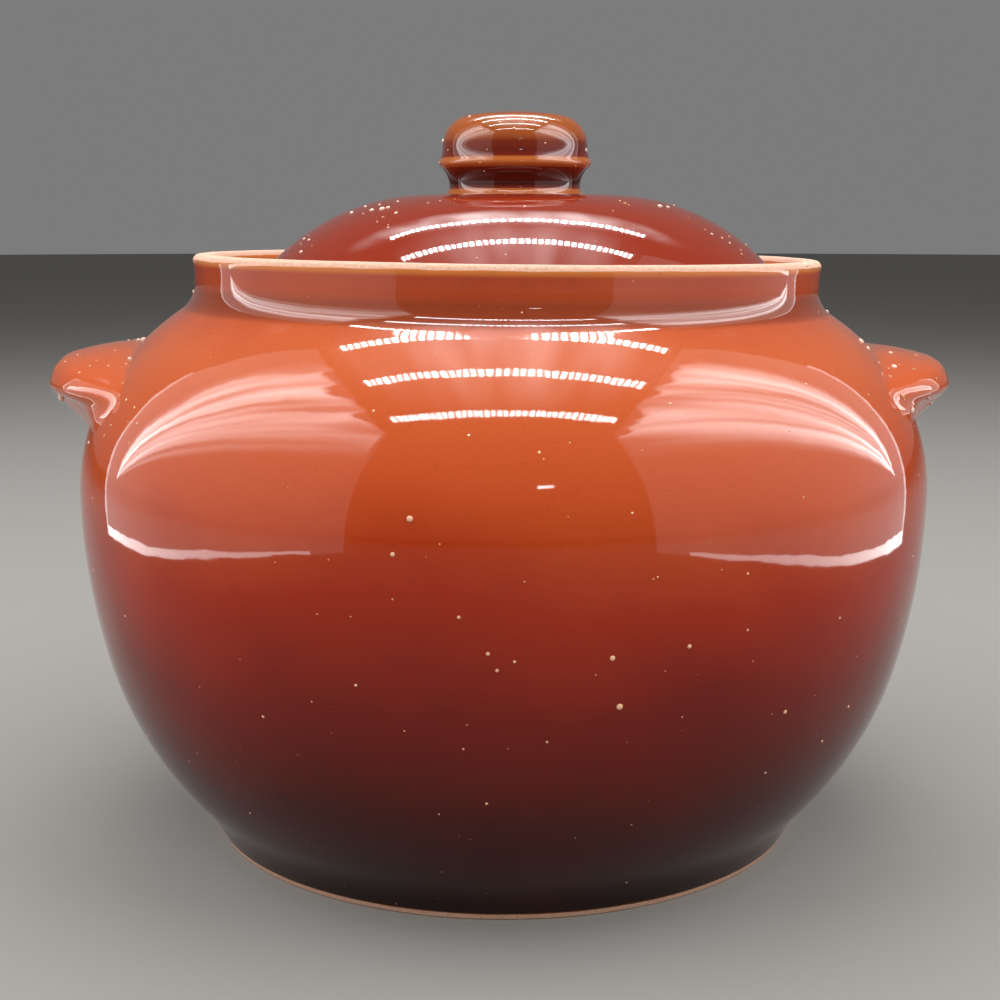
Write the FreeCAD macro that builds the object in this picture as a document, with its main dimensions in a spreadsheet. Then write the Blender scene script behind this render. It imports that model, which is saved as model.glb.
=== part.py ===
import FreeCAD, Part
import os
import re
from math import atan2, sqrt
from FreeCAD import Placement, Rotation, Vector
from Sketcher import Constraint

# Stoneware bean pot: a round-bellied pot with a short collar, two solid lugs on its
# shoulder, and a domed lid with a turned knob that sits on a ledge inside the collar.
# Millimetres and degrees. +Z is up and +X points at the right lug. The origin is the
# centre of the foot, on the surface that the pot stands on. Pot, lid and knob are each
# turned from a half-section, so a radius is a distance from the piece's own axis, and
# a lean is an angle from upright.

SIZES = {
    # foot and floor
    "foot_radius": (66.0, "outer edge of the foot ring"),
    "foot_ring_width": (7.0, "flat ring that the pot stands on"),
    "foot_recess_depth": (2.0, "underside turned away inside the ring"),
    "foot_edge_round": (0.8, "softened edges of the ring"),
    "floor_thickness": (6.0, "clay between the recess and the inside floor"),
    # wall, from the foot to the belly
    "wall_thickness": (6.0, "wall at the belly and below"),
    "foot_lean": (21.0, "lean of the wall where it leaves the foot"),
    "flare_height": (10.0, "height at which the wall leans most"),
    "wall_lean": (42.0, "lean of the wall at that height"),
    "belly_radius": (94.0, "widest point of the pot"),
    "belly_height": (78.0, "height of the widest point"),
    # shoulder, collar and rim
    "shoulder_lean": (57.0, "lean of the shoulder where it turns up to the collar"),
    "neck_turn_radius": (7.0, "hollow curve between shoulder and collar"),
    "collar_radius": (68.8, "outside of the collar at its waist"),
    "collar_rise": (44.0, "from the belly up to that waist"),
    "rim_flare": (0.4, "how far the rim stands out past the waist"),
    "rim_rise": (6.2, "from the waist up to the rim"),
    "rim_thickness": (4.4, "clay between the outside and the inside of the rim"),
    "rim_round": (1.3, "rounded edges of the rim"),
    # ledge inside the collar, which carries the lid
    "ledge_depth": (15.2, "from the rim down to the lid's seat"),
    "ledge_width": (12.0, "from the inside of the collar to the mouth"),
    "ledge_thickness": (4.0, "thickness of the ledge's rounded nose"),
    "ledge_corner_round": (1.2, "inside corner of ledge and collar"),
    # lugs
    "lug_reach": (7.3, "how far the tip stands out past the belly"),
    "lug_plan_radius": (45.0, "round outline seen from above"),
    "lug_ridge_rise": (20.6, "from the belly up to the ridge"),
    "lug_tip_thickness": (6.6, "from the ridge to the top line at the tip"),
    "lug_top_angle": (15.0, "fall of the top line towards the tip"),
    "lug_crown_radius": (75.0, "rounding of the top across the lug"),
    "lug_keel_angle": (47.0, "rise of the underside's middle line towards the tip"),
    "lug_keel_spread": (12.0, "how much rounder the underside is than the outline"),
    "lug_edge_round": (2.6, "rounded upper edge"),
    "lug_ridge_round": (1.0, "softened ridge"),
    # lid, with heights from its seat
    "lid_play": (3.3, "gap all round between a centred lid and the collar"),
    "lid_side_gap": (0.3, "gap left on the side towards which the lid has slid"),
    "lid_thickness": (5.5, "wall of the dome"),
    "lid_edge_height": (4.6, "upright edge of the lid"),
    "lid_edge_round": (1.8, "rounded lower edge, clear of the ledge's corner"),
    "lid_crown_height": (28.5, "flat crown under the knob"),
    "lid_crown_radius": (20.0, "radius of the flat crown"),
    # knob, with heights from the crown of the lid
    "knob_base_radius": (15.3, "spread foot of the knob"),
    "knob_neck_radius": (14.4, "narrowest part of the neck"),
    "knob_neck_height": (2.0, "height of the narrowest part"),
    "knob_lip_radius": (16.8, "sharp lip under the head"),
    "knob_lip_height": (6.7, "underside of the lip"),
    "knob_lip_edge": (0.4, "upright edge of the lip"),
    "knob_head_radius": (15.9, "head above the lip"),
    "knob_head_height": (10.4, "where the side of the head is upright"),
    "knob_height": (18.1, "top of the knob on its axis"),
    "knob_turn_radius": (6.6, "rounding from the side to the top"),
    "knob_crown_radius": (60.0, "slight doming of the top"),
}


def bound(formula):
    """The formula with each named size written as a reference to its sheet."""
    def reference(match):
        word = match.group()
        if word in SIZES:
            return f"Sizes.{word}"
        return f"Worked.{word}" if word in WORKED else word
    return re.sub(r"[a-z][a-z0-9_]*", reference, formula)


def sine(lean):
    return f"sin(({lean}) * 1deg)"


def cosine(lean):
    return f"cos(({lean}) * 1deg)"


def curve_pair(name, start, end, start_lean, end_lean, side):
    """Worked rows for two arcs that meet smoothly between two points and two leans.

    side is 1 where the curve climbs outwards and -1 where it climbs inwards. The
    tangents at both ends and at the knee, where the arcs meet, have one length.
    """
    (start_r, start_z), (end_r, end_z) = start, end
    sines = f"({sine(start_lean)} + {sine(end_lean)})"
    cosines = f"({cosine(start_lean)} + {cosine(end_lean)})"
    run, rise, bend, along, reach, lean = (
        f"{name}_{part}" for part in ("run", "rise", "bend", "along", "reach", "lean"))
    return {
        run: f"{side} * (({end_r}) - ({start_r}))",
        rise: f"({end_z}) - ({start_z})",
        bend: f"1 - {cosine(f'{start_lean} - {end_lean}')}",
        along: f"{run} * {sines} + {rise} * {cosines}",
        reach: f"(sqrt({along}^2 + 2 * {bend} * ({run}^2 + {rise}^2)) - {along}) / (2 * {bend})",
        lean: f"acos(({rise} - {reach} * {cosines}) / (2 * {reach})) / 1deg",
        f"{name}_r": f"(({start_r}) + ({end_r}) + {side} * {reach}"
                     f" * ({sine(start_lean)} - {sine(end_lean)})) / 2",
        f"{name}_z": f"(({start_z}) + ({end_z}) + {reach}"
                     f" * ({cosine(start_lean)} - {cosine(end_lean)})) / 2",
        f"{name}_first": f"{reach} / tan(abs({lean} - ({start_lean})) * 0.5deg)",
        f"{name}_last": f"{reach} / tan(abs({lean} - ({end_lean})) * 0.5deg)",
    }


def square_arc(run, rise):
    """Radius of an arc that leaves one end square to run and spans run and rise."""
    return f"(({run})^2 + ({rise})^2) / (2 * ({run}))"


WORKED = {
    # heights above the foot
    "waist_z": "belly_height + collar_rise",
    "rim_z": "waist_z + rim_rise",
    "ledge_z": "rim_z - ledge_depth",
    # wall: a hollow flare above the foot, then two arcs out to the belly
    "flare_turn": f"flare_height / ({sine('wall_lean')} - {sine('foot_lean')})",
    "flare_r": f"foot_radius + flare_turn * ({cosine('foot_lean')} - {cosine('wall_lean')})",
    **curve_pair("wall_knee", ("flare_r", "flare_height"), ("belly_radius", "belly_height"),
                 "wall_lean", "0", 1),
    # shoulder: two arcs in from the belly, then the hollow turn up to the collar
    "neck_r": f"collar_radius + neck_turn_radius * (1 - {cosine('shoulder_lean')})",
    "neck_z": f"waist_z - neck_turn_radius * {sine('shoulder_lean')}",
    **curve_pair("shoulder_knee", ("belly_radius", "belly_height"), ("neck_r", "neck_z"),
                 "0", "shoulder_lean", -1),
    "rim_radius": "collar_radius + rim_flare",
    "rim_flare_turn": square_arc("rim_flare", "rim_rise - rim_round"),
    # inside: floor, wall at one thickness, shoulder up to the underside of the ledge
    "floor_z": "foot_recess_depth + floor_thickness",
    "corner_r": f"flare_r - wall_thickness * {cosine('wall_lean')}",
    "corner_z": f"flare_height + wall_thickness * {sine('wall_lean')}",
    "corner_turn": f"(corner_z - floor_z) / (1 - {sine('wall_lean')})",
    "floor_r": f"corner_r - corner_turn * {cosine('wall_lean')}",
    "inner_knee_r": f"wall_knee_r - wall_thickness * {cosine('wall_knee_lean')}",
    "inner_knee_z": f"wall_knee_z + wall_thickness * {sine('wall_knee_lean')}",
    "belly_inside": "belly_radius - wall_thickness",
    "nose": "ledge_thickness / 2",
    "collar_inside": "rim_radius - rim_thickness",
    "mouth_radius": "collar_inside - ledge_width",
    "under_z": "ledge_z - ledge_thickness",
    **curve_pair("arch_knee", ("belly_inside", "belly_height"), ("mouth_radius + nose", "under_z"),
                 "0", "90", -1),
    # lugs
    "lug_tip_radius": "belly_radius + lug_reach",
    "lug_centre_r": "lug_tip_radius - lug_plan_radius",
    "lug_ridge_z": "belly_height + lug_ridge_rise",
    "lug_keel_radius": "lug_plan_radius + lug_keel_spread",
    # lid: flat crown, then one arc down to the edge
    "lid_radius": "collar_inside - lid_play",
    "lid_shift": "lid_play - lid_side_gap",
    "dome_turn": square_arc("lid_crown_height - lid_edge_height", "lid_radius - lid_crown_radius"),
    "dome_centre_z": "lid_crown_height - dome_turn",
    "dome_inside": "dome_turn - lid_thickness",
    "seat_r": "lid_crown_radius + sqrt(dome_inside^2 - dome_centre_z^2)",
    "crown_z": "ledge_z + lid_crown_height",
    # knob: neck, lip and head
    "knob_foot_turn": square_arc("knob_base_radius - knob_neck_radius", "knob_neck_height"),
    "knob_neck_turn": square_arc("knob_lip_radius - knob_neck_radius",
                                 "knob_lip_height - knob_neck_height"),
    "knob_lip_top": "knob_lip_height + knob_lip_edge",
    "knob_side_turn": square_arc("knob_lip_radius - knob_head_radius",
                                 "knob_head_height - knob_lip_top"),
    "knob_turn_r": "knob_head_radius - knob_turn_radius",
    "knob_top_ratio": "knob_turn_r / (knob_crown_radius - knob_turn_radius)",
    "knob_turn_z": "knob_height - knob_crown_radius"
                   " + (knob_crown_radius - knob_turn_radius) * sqrt(1 - knob_top_ratio^2)",
    "knob_top_r": "knob_crown_radius * knob_top_ratio",
    "knob_top_z": "knob_height - knob_crown_radius * (1 - sqrt(1 - knob_top_ratio^2))",
}

# How near an edge has to be to a height or a radius to count as lying on it.
CLOSE = 0.05

doc = FreeCAD.newDocument("bean_pot")
sizes = doc.addObject("Spreadsheet::Sheet", "Sizes")
for row, (alias, (value, meaning)) in enumerate(SIZES.items(), start=1):
    sizes.set(f"A{row}", meaning)
    sizes.set(f"B{row}", str(value))
    sizes.setAlias(f"B{row}", alias)
worked = doc.addObject("Spreadsheet::Sheet", "Worked")
for row, alias in enumerate(WORKED, start=1):
    worked.setAlias(f"A{row}", alias)
for row, formula in enumerate(WORKED.values(), start=1):
    worked.set(f"A{row}", "=" + bound(formula))
doc.recompute()


def value_of(formula):
    """The number that a formula of named sizes comes to."""
    return float(worked.evalExpression(bound(formula)))


def new_body(name):
    body = doc.addObject("PartDesign::Body", name)
    body.Label = name
    return body


def add_sketch(body, name, role):
    """An empty sketch on one of the body's own origin planes."""
    sketch = body.newObject("Sketcher::SketchObject", name)
    plane = next(part for part in body.Origin.OriginFeatures if part.Role == role)
    sketch.AttachmentSupport = [(plane, "")]
    sketch.MapMode = "FlatFace"
    sketch.Visibility = False
    return sketch


def fix(sketch, kind, places, name, formula):
    """A named dimension of the sketch, bound to a formula of named sizes."""
    sketch.addConstraint(Constraint(kind, *places, value_of(formula)))
    sketch.renameConstraint(sketch.ConstraintCount - 1, name)
    sketch.setExpression(f"Constraints.{name}", bound(formula))


def arc_between(start, end, radius, turn):
    """The shorter arc from start to end; turn is 1 for anticlockwise, -1 for clockwise."""
    chord = end - start
    to_centre = sqrt(max(radius ** 2 - (chord.Length / 2) ** 2, 0.0))
    left = Vector(-chord.y, chord.x, 0) / chord.Length
    centre = (start + end) / 2 + left * turn * to_centre
    angles = [atan2(point.y - centre.y, point.x - centre.x) for point in (start, end)]
    return Part.ArcOfCircle(Part.Circle(centre, Vector(0, 0, 1), radius), *angles[::turn])


def draw_outline(sketch, corners):
    """A closed outline of lines and arcs, with every corner and radius dimensioned.

    Each corner is (name, across, up), or (name, across, up, arc radius, turn) where an
    arc leads to it from the corner before. All but the name and turn are formulas.
    """
    points = [Vector(value_of(corner[1]), value_of(corner[2]), 0) for corner in corners]
    first_end, last_end = 1, 2
    edges = []
    for start, end, corner in zip(points[-1:] + points[:-1], points, corners):
        ends = (first_end, last_end)
        if len(corner) == 3:
            edge = Part.LineSegment(start, end)
        else:
            radius, turn = corner[3:]
            edge = arc_between(start, end, value_of(radius), turn)
            ends = ends[::turn]
        edges.append((sketch.addGeometry(edge), *ends))

    for corner, (edge, _, end), (next_edge, next_start, _) in zip(corners, edges, edges[1:] + edges[:1]):
        name, across, up = corner[:3]
        sketch.addConstraint(Constraint("Coincident", edge, end, next_edge, next_start))
        for kind, axis, formula in (("DistanceX", -2, across), ("DistanceY", -1, up)):
            if formula == "0":
                sketch.addConstraint(Constraint("PointOnObject", edge, end, axis))
            else:
                fix(sketch, kind, (-1, 1, edge, end), f"{name}_{kind[-1].lower()}", formula)
        if len(corner) > 3:
            fix(sketch, "Radius", (edge,), f"{name}_turn", corner[3])


def turn_section(body, feature, name, corners):
    """Revolve a half-section about the body's own upright axis; Groove takes clay away.

    It is drawn at right angles to the lugs, so that its seam doesn't run through them.
    """
    sketch = add_sketch(body, f"{name}_section", "YZ_Plane")
    draw_outline(sketch, corners)
    turned = body.newObject(f"PartDesign::{feature}", name)
    turned.Profile = (sketch, [""])
    turned.ReferenceAxis = (sketch, ["V_Axis"])
    turned.Angle = 360
    doc.recompute()
    return turned


def soften(body, name, edges, radius):
    """Round edges of the body's last feature."""
    last_feature = body.Tip
    rounded = body.newObject("PartDesign::Fillet", name)
    rounded.Base = (last_feature, edges)
    rounded.setExpression("Radius", bound(radius))
    doc.recompute()


# The outside runs from the recess under the foot up to the rim and back to the axis.
POT_OUTSIDE = [
    ("recess_centre", "0", "foot_recess_depth"),
    ("recess_edge", "foot_radius - foot_ring_width - foot_recess_depth", "foot_recess_depth"),
    ("ring_inside", "foot_radius - foot_ring_width", "0"),
    ("ring_outside", "foot_radius", "0"),
    ("flare_top", "flare_r", "flare_height", "flare_turn", -1),
    ("wall_knee", "wall_knee_r", "wall_knee_z", "wall_knee_first", 1),
    ("belly", "belly_radius", "belly_height", "wall_knee_last", 1),
    ("shoulder_knee", "shoulder_knee_r", "shoulder_knee_z", "shoulder_knee_first", 1),
    ("shoulder_top", "neck_r", "neck_z", "shoulder_knee_last", 1),
    ("collar_waist", "collar_radius", "waist_z", "neck_turn_radius", -1),
    ("rim_outside", "rim_radius", "rim_z - rim_round", "rim_flare_turn", -1),
    ("rim_top", "rim_radius - rim_round", "rim_z", "rim_round", 1),
    ("top_centre", "0", "rim_z"),
]

# The hollow runs from the floor up the wall, round the ledge and out past the rim.
POT_HOLLOW = [
    ("floor_centre", "0", "floor_z"),
    ("floor_edge", "floor_r", "floor_z"),
    ("corner_top", "corner_r", "corner_z", "corner_turn", 1),
    ("inner_knee", "inner_knee_r", "inner_knee_z", "wall_knee_first - wall_thickness", 1),
    ("belly_inside", "belly_inside", "belly_height", "wall_knee_last - wall_thickness", 1),
    ("arch_knee", "arch_knee_r", "arch_knee_z", "arch_knee_first", 1),
    ("ledge_under", "mouth_radius + nose", "under_z", "arch_knee_last", 1),
    ("mouth", "mouth_radius", "under_z + nose", "nose", -1),
    ("ledge_nose", "mouth_radius + nose", "ledge_z", "nose", -1),
    ("ledge_corner", "collar_inside - ledge_corner_round", "ledge_z"),
    ("collar_foot", "collar_inside", "ledge_z + ledge_corner_round", "ledge_corner_round", 1),
    ("rim_inside", "collar_inside", "rim_z - rim_round"),
    ("rim_inner_top", "collar_inside + rim_round", "rim_z", "rim_round", -1),
    ("above_rim", "collar_inside + rim_round", "rim_z + rim_round"),
    ("above_centre", "0", "rim_z + rim_round"),
]

# Seen from above, with its straight back well inside the wall.
LUG_OUTLINE = [
    ("back_near", "lug_centre_r", "-lug_plan_radius"),
    ("tip", "lug_tip_radius", "0", "lug_plan_radius", 1),
    ("back_far", "lug_centre_r", "lug_plan_radius", "lug_plan_radius", 1),
]

LID_SECTION = [
    ("ceiling_centre", "0", "lid_crown_height - lid_thickness"),
    ("ceiling_edge", "lid_crown_radius", "lid_crown_height - lid_thickness"),
    ("seat_inside", "seat_r", "0", "dome_inside", -1),
    ("seat_outside", "lid_radius - lid_edge_round", "0"),
    ("edge_foot", "lid_radius", "lid_edge_round", "lid_edge_round", 1),
    ("edge_top", "lid_radius", "lid_edge_height"),
    ("crown_edge", "lid_crown_radius", "lid_crown_height", "dome_turn", 1),
    ("crown_centre", "0", "lid_crown_height"),
]

KNOB_SECTION = [
    ("base_centre", "0", "0"),
    ("base_edge", "knob_base_radius", "0"),
    ("neck", "knob_neck_radius", "knob_neck_height", "knob_foot_turn", -1),
    ("lip_under", "knob_lip_radius", "knob_lip_height", "knob_neck_turn", -1),
    ("lip_top", "knob_lip_radius", "knob_lip_top"),
    ("head_side", "knob_head_radius", "knob_head_height", "knob_side_turn", -1),
    ("head_turn", "knob_head_radius", "knob_turn_z"),
    ("top_edge", "knob_top_r", "knob_top_z", "knob_turn_radius", 1),
    ("top_centre", "0", "knob_height", "knob_crown_radius", 1),
]


def beyond_arc(radius, up):
    """Outline of what lies past an arc: above its top where up is 1, below it where -1."""
    side = f"{radius} + lug_plan_radius"
    spring = f"{-up} * {radius}"
    far = f"{3 * up} * lug_plan_radius"
    return [
        ("left_foot", f"-({side})", spring),
        ("left_spring", f"-{radius}", spring),
        ("middle", "0", "0", radius, -up),
        ("right_spring", radius, spring, radius, -up),
        ("right_foot", side, spring),
        ("right_far", side, far),
        ("left_far", f"-({side})", far),
    ]


def make_pot_body():
    body = new_body("pot_body")
    form = turn_section(body, "Revolution", "pot_outside", POT_OUTSIDE)
    hollow = turn_section(body, "Groove", "pot_hollow", POT_HOLLOW)
    if hollow.Shape.Volume >= form.Shape.Volume:
        raise RuntimeError("the hollow does not open the pot")
    on_ground = [f"Edge{number}" for number, edge in enumerate(hollow.Shape.Edges, start=1)
                 if edge.BoundBox.ZMax < CLOSE]
    soften(body, "foot_ring_softened", on_ground, "foot_edge_round")
    return body


def add_tab(body, name):
    """The lug's upright outline, half a disc and far taller than the lug is thick."""
    sketch = add_sketch(body, f"{name}_outline", "XY_Plane")
    sketch.setExpression("AttachmentOffset.Base.z", bound("lug_ridge_z"))
    draw_outline(sketch, LUG_OUTLINE)
    tab = body.newObject("PartDesign::Pad", name)
    tab.Profile = (sketch, [""])
    tab.SideType = "Symmetric"
    tab.setExpression("Length", bound("4 * lug_plan_radius"))
    doc.recompute()


def cut_along(body, name, corners, tip_height, fall):
    """Cut an outline right through the lug, along a line that falls to its tip."""
    uncut = body.Tip
    sketch = add_sketch(body, f"{name}_profile", "YZ_Plane")
    sketch.AttachmentOffset = Placement(Vector(), Rotation(Vector(1, 0, 0), 1))
    sketch.setExpression("AttachmentOffset.Base.y", bound(tip_height))
    sketch.setExpression("AttachmentOffset.Base.z", bound("lug_tip_radius"))
    sketch.setExpression("AttachmentOffset.Rotation.Angle", bound(f"{fall} * 1 deg"))
    draw_outline(sketch, corners)
    cut = body.newObject("PartDesign::Pocket", name)
    cut.Profile = (sketch, [""])
    cut.Type = "ThroughAll"
    cut.SideType = "Symmetric"
    doc.recompute()
    if cut.Shape.Volume >= uncut.Shape.Volume:
        raise RuntimeError(f"{name} cuts nothing")


def edges_from_tip(shape):
    """Names of the edges that run back from a lug's tip on both sides, the lowest first."""
    tip = value_of("lug_tip_radius")
    reaching = [(edge.BoundBox.ZMin, f"Edge{number}") for number, edge in enumerate(shape.Edges, start=1)
                if edge.BoundBox.XMax > tip - CLOSE and edge.BoundBox.YLength > CLOSE]
    return [name for _, name in sorted(reaching)]


def make_lug(name, heading):
    """A round tab between a crowned top and a rounded underside that rises to its tip.

    The pot's own outside is cut from it, so that it meets the shoulder all round.
    """
    lug = new_body(name)
    add_tab(lug, f"{name}_tab")
    cut_along(lug, f"{name}_top", beyond_arc("lug_crown_radius", 1),
              "lug_ridge_z + lug_tip_thickness", "lug_top_angle")
    cut_along(lug, f"{name}_underside", beyond_arc("lug_keel_radius", -1),
              "lug_ridge_z", "-lug_keel_angle")

    pot_form = new_body(f"{name}_pot_form")
    turn_section(pot_form, "Revolution", f"{name}_pot_outside", POT_OUTSIDE)
    fitted = lug.newObject("PartDesign::Boolean", f"{name}_fitted")
    fitted.Type = "Cut"
    fitted.setObjects([pot_form])
    doc.recompute()

    soften(lug, f"{name}_edge_softened", edges_from_tip(lug.Shape)[-2:], "lug_edge_round")
    soften(lug, f"{name}_ridge_softened", edges_from_tip(lug.Shape)[:2], "lug_ridge_round")
    lug.Placement = Placement(Vector(), Rotation(Vector(0, 0, 1), heading))
    return lug


def make_lid_piece(name, corners, height):
    """A turned piece of the lid, standing at a height over the lid's shifted centre."""
    body = new_body(name)
    turn_section(body, "Revolution", f"{name}_turned", corners)
    body.setExpression("Placement.Base.x", bound("lid_shift"))
    body.setExpression("Placement.Base.z", bound(height))
    return body


subparts = [
    make_pot_body(),
    make_lug("right_lug", 0),
    make_lug("left_lug", 180),
    make_lid_piece("lid_dome", LID_SECTION, "ledge_z"),
    make_lid_piece("lid_knob", KNOB_SECTION, "crown_z"),
]
doc.recompute()

failed = [thing.Label for thing in doc.Objects if {"Invalid", "Error"} & set(thing.State)]
if failed:
    raise RuntimeError(f"failed objects: {', '.join(failed)}")
for subpart in subparts:
    shape = subpart.Shape
    if shape.isNull() or not shape.isValid() or len(shape.Solids) != 1:
        raise RuntimeError(f"{subpart.Label} is not one valid solid")

os.makedirs("parts", exist_ok=True)
for subpart in subparts:
    subpart.Shape.exportStep(f"parts/{subpart.Label}.step")
    print(f"{subpart.Label}: {subpart.Shape.Volume:.0f} mm3, {len(subpart.Shape.Faces)} faces")
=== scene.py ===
from math import acos, asin, atan2, cos, hypot, pi, radians, sin, sqrt, tan

import bmesh
import bpy
import numpy as np
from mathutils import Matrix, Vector


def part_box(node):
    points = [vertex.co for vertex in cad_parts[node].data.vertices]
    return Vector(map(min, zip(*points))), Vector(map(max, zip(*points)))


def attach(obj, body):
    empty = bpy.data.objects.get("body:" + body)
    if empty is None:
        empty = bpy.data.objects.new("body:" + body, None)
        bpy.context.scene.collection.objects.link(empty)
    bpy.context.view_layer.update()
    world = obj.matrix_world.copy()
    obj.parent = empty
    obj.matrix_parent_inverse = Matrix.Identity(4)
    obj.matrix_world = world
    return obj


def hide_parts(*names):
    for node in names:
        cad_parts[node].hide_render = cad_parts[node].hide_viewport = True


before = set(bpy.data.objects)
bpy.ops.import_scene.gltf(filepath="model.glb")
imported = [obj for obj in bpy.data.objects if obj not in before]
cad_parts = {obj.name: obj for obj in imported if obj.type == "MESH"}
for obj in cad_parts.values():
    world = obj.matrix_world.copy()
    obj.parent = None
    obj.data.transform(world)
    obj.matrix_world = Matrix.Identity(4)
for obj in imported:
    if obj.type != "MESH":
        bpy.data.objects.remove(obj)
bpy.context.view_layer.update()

# A stoneware bean pot with a brown glaze: pot, two lugs, domed lid and turned knob, with
# the grit that stands through the glaze. Sizes are in millimetres, multiplied by MM where
# metres are asked for, and leans are degrees from upright.
MM = 0.001

# Sizes that the solids give.
pot_high = np.array(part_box("pot_body")[1]) / MM
lid_low, lid_high = (np.array(corner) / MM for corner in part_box("lid_dome"))
knob_low, knob_high = (np.array(corner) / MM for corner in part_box("lid_knob"))
BELLY_RADIUS = pot_high[0]
RIM_Z = pot_high[2]
LUG_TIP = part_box("right_lug")[1].x / MM
LID_RADIUS = (lid_high[0] - lid_low[0]) / 2
LID_MIDDLE = (lid_high[0] + lid_low[0]) / 2
LEDGE_Z = lid_low[2]
CROWN_RISE = lid_high[2] - lid_low[2]
KNOB_RADIUS = (knob_high[0] - knob_low[0]) / 2
KNOB_RISE = knob_high[2] - knob_low[2]

# Pot: foot, wall, shoulder, collar and ledge.
FOOT_RADIUS = 66.0
FOOT_RING = 7.0
FOOT_RECESS = 2.0
FLOOR_CLAY = 6.0
WALL_CLAY = 6.0
FLARE_RISE = 10.0
FOOT_LEAN = 21.0
WALL_LEAN = 42.0
BELLY_Z = 78.0
SHOULDER_LEAN = 57.0
NECK_TURN = 7.0
COLLAR_RADIUS = 68.8
RIM_FLARE = 0.4
RIM_RISE = 6.2
RIM_CLAY = 4.4
RIM_ROUND = 1.3
LEDGE_WIDTH = 12.0
LEDGE_CLAY = 4.0
LEDGE_CORNER = 1.2

# How far the collar leans to the right, from the shoulder up, and how it tips.
COLLAR_LEAN = {"Lean From": 96 * MM, "Lean To": 126 * MM, "Lean Shift": 0.75 * MM, "Lean Tip": -0.011}

# Lugs, pressed by hand and luted to the shoulder.
LUG_PLAN = 46.0
LUG_RIDGE_RISE = 20.8
LUG_RIDGE_LIFT = 1.5
LUG_RIDGE_REACH = 32.0
LUG_TIP_CLAY = 6.5
LUG_TOP_SLOPE = 20.0
LUG_ARCH = 62.0
LUG_CROWN = 96.0
LUG_UNDER_SLOPE = 45.0
LUG_END_SLOPE = 86.0
LUG_STEEPENS = (22.0, 40.0)
LUG_FOOT_Z = 89.5
LUG_FOOT_LIFT = 3.5
LUG_HALF_WIDTH = 37.0
RIGHT_LUG_SHORTER = 2.1

# How far fingers rounded the lugs' edges, and how far slip fills the join.
TOP_ROUND = 4.5
RIDGE_ROUND = 1.6
FOOT_ROUND = 2.0
SLIP_ROUND = 2.6

# Hollows that thumbs pressed under a lug, and the soft border left above them. A hollow
# deepens from the first value to the second: down from the border, out from the pot and
# aside from the lug's middle.
THUMB_DEPTH = 0.8
THUMB_DOWN = (0.0, 2.0)
THUMB_OUT = (1.1, 3.4)
THUMB_ASIDE = (7.0, 19.0)
BORDER_RISE = 0.9
BORDER_SWELL = 0.25
BORDER_MIDDLE = 1.0
BORDER_WIDTH = 1.3

# Lid and knob, with heights from the lid's seat and from its crown.
LID_CLAY = 5.5
LID_EDGE_RISE = 4.6
LID_EDGE_ROUND = 1.8
LID_CROWN_RADIUS = 20.0
KNOB_BASE_RADIUS = 15.3
KNOB_NECK_RADIUS = 14.4
KNOB_NECK_RISE = 2.0
KNOB_LIP_RISE = 6.7
KNOB_LIP_EDGE = 0.4
KNOB_HEAD_RADIUS = 15.9
KNOB_HEAD_RISE = 10.4
KNOB_TURN = 6.6
KNOB_CROWN = 60.0
KNOB_OFF_CENTRE = 0.5

# Where the glaze was wiped away before firing, so that the bare clay shows.
FOOT_LINE = 1.4
RIM_LINE = RIM_Z - 1.1
LID_SEAT_LINE = 1.6

# Distance from the edge of the glaze that stands for glaze all over, a bend, in radians
# to a millimetre, that is sharp enough to thin it fully, and how much higher up the pot
# the tone inside is taken from, so that less of the shade painted near the foot falls inside.
ALL_GLAZED = 9.0
SHARP_BEND = 0.25
INSIDE_TONE_RISE = 36.0

# A walk's step, and how fine a section is: its turn at a point, its shortest side, how
# much longer its sides may be inside, how far its bends are averaged for its sides and for
# the glaze, and the gap that is closed at seam and poles.
STEP = 0.05
SIDE_TURN = radians(9)
SHORTEST_SIDE = 0.22
SLACK_INSIDE = 0.6
SIDE_BLUR = 0.4
GLAZE_BLUR = 0.9
SEAM_GAP = 0.002

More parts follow.
